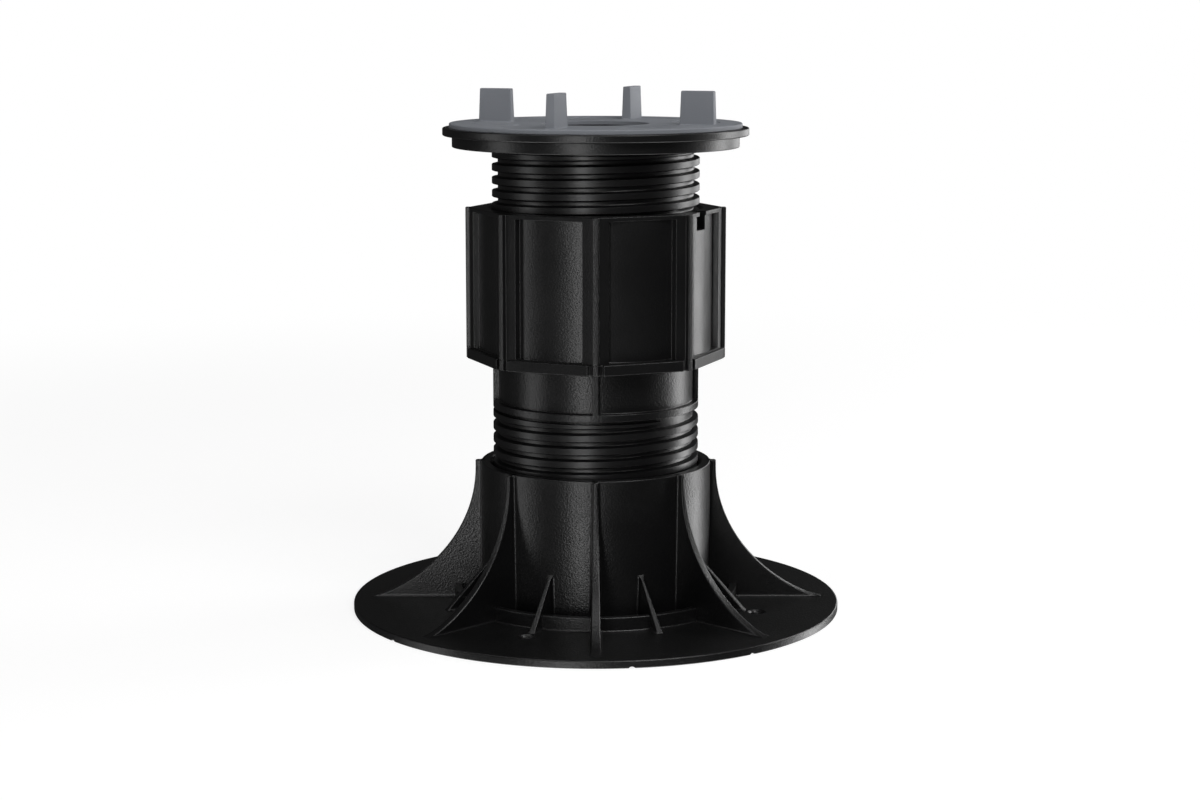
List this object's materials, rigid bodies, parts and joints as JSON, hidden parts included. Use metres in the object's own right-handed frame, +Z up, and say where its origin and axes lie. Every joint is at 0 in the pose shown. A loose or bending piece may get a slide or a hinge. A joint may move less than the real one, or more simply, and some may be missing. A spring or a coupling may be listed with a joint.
{
  "type": "decking pedestal",
  "caption": "Screw-adjustable paving support: finned round foot, ribbed coupler, flanged threaded stem, and a swivel head plate with a grey pad and upright spacer tabs.",
  "frame": {"origin": "centre of the foot's underside, on the ground", "axes": "+Z up along the screw axis; +X and +Y point along two of the foot's eight fins"},
  "size_m": [0.2, 0.2, 0.2119],
  "materials": {
    "black_plastic": "satin black polypropylene with a fine moulded leather grain",
    "grey_pad": "soft slate-grey thermoplastic rubber, matt"
  },
  "bodies": {
    "foot": {"base": "black_plastic"},
    "sleeve": {"coupler": "black_plastic"},
    "head": {"head_plate": "black_plastic", "tile_pad": "grey_pad"},
    "stem": {"threaded_stem": "black_plastic"}
  },
  "joints": [
    {"name": "coupler_rise", "type": "slide", "parent": "foot", "child": "sleeve", "axis": [0, 0, 1], "range_m": [-0.021, 0.019]},
    {"name": "head_rise", "type": "slide", "parent": "sleeve", "child": "head", "axis": [0, 0, 1], "range_m": [-0.024, 0.0205]},
    {"name": "stem_turn", "type": "hinge", "parent": "head", "child": "stem", "pos_m": [0, 0, 0.1647], "axis": [0, 0, 1], "range_deg": [-1640, 1400]}
  ],
  "couplings": [
    {"joint": "head_rise", "follows": "stem_turn", "m_per_rad": 0.00083556}
  ]
}
